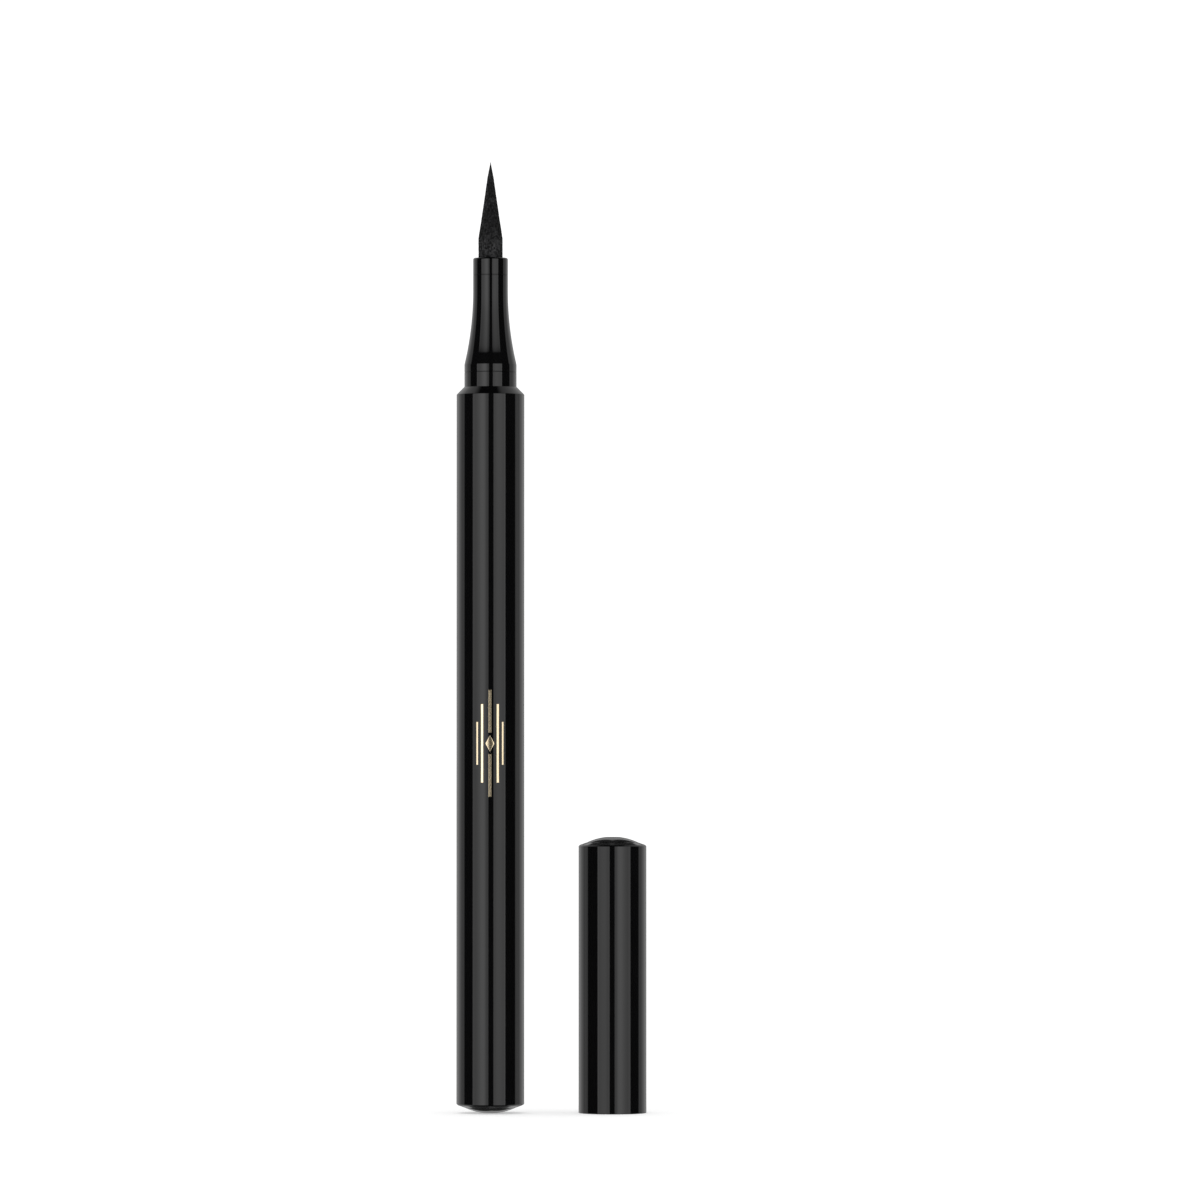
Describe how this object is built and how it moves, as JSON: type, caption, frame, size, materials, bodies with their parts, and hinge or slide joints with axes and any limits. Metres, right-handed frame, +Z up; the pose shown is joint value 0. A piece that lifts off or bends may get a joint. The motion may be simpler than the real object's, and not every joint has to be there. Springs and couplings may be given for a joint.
{
  "type": "liquid eyeliner pen",
  "caption": "Slim black liquid eyeliner pen with a pointed felt nib, standing beside its pull-off cap; ink tank, feed and mixing ball inside.",
  "frame": {"origin": "centre of the small flat under the pen's foot, on the surface that the pen and the cap stand on", "axes": "+Z up along the pen's axis, towards the nib; +X from the pen to the cap; the accent faces -Y"},
  "size_m": [0.0268, 0.0096, 0.134],
  "materials": {
    "gloss_black": "injection-moulded gloss black",
    "end_plug_black": "injection-moulded gloss black, slightly softer than the barrel",
    "clear_tank": "clear polypropylene",
    "natural_plastic": "natural unpigmented polypropylene",
    "seal_rubber": "matt black",
    "ink": "liquid, carbon black",
    "wick_fibre": "bonded lengthwise fibre, soaked with ink",
    "felt_nib": "ground felt, matt black",
    "gold_foil": "hot-stamped foil",
    "ball_steel": "polished",
    "spring_steel": "drawn wire"
  },
  "bodies": {
    "pen": {"barrel": "gloss_black", "tail_plug": "end_plug_black", "ink_tank": "clear_tank", "tank_stopper": "natural_plastic", "stopper_seal": "seal_rubber", "ink": "ink", "ink_collector": "natural_plastic", "feed_wick": "wick_fibre", "neck_coupler": "gloss_black", "coupler_seal": "seal_rubber", "nozzle": "gloss_black", "nib_holder": "gloss_black", "nib": "felt_nib", "foil_accent": "gold_foil"},
    "mixing_ball": {"mixing_ball": "ball_steel"},
    "cap": {"cap_shell": "gloss_black", "cap_liner": "natural_plastic", "cap_end_plug": "end_plug_black", "inner_cap_spring": "spring_steel"},
    "inner_cap": {"inner_cap": "natural_plastic", "inner_cap_seal": "seal_rubber"}
  },
  "joints": [
    {"name": "cap_pull", "type": "slide", "parent": "pen", "child": "cap", "axis": [0, 0, 1], "range_m": [0, 0.034]},
    {"name": "inner_cap_press", "type": "slide", "parent": "cap", "child": "inner_cap", "axis": [0, 0, 1], "range_m": [0, 0.002], "stiffness_N_per_m": 150, "springref_m": -0.002, "deforming": ["inner_cap_spring"]},
    {"name": "mixing_ball_travel", "type": "slide", "parent": "pen", "child": "mixing_ball", "axis": [0, 0, 1], "range_m": [0, 0.03], "deforming": ["ink"]}
  ]
}
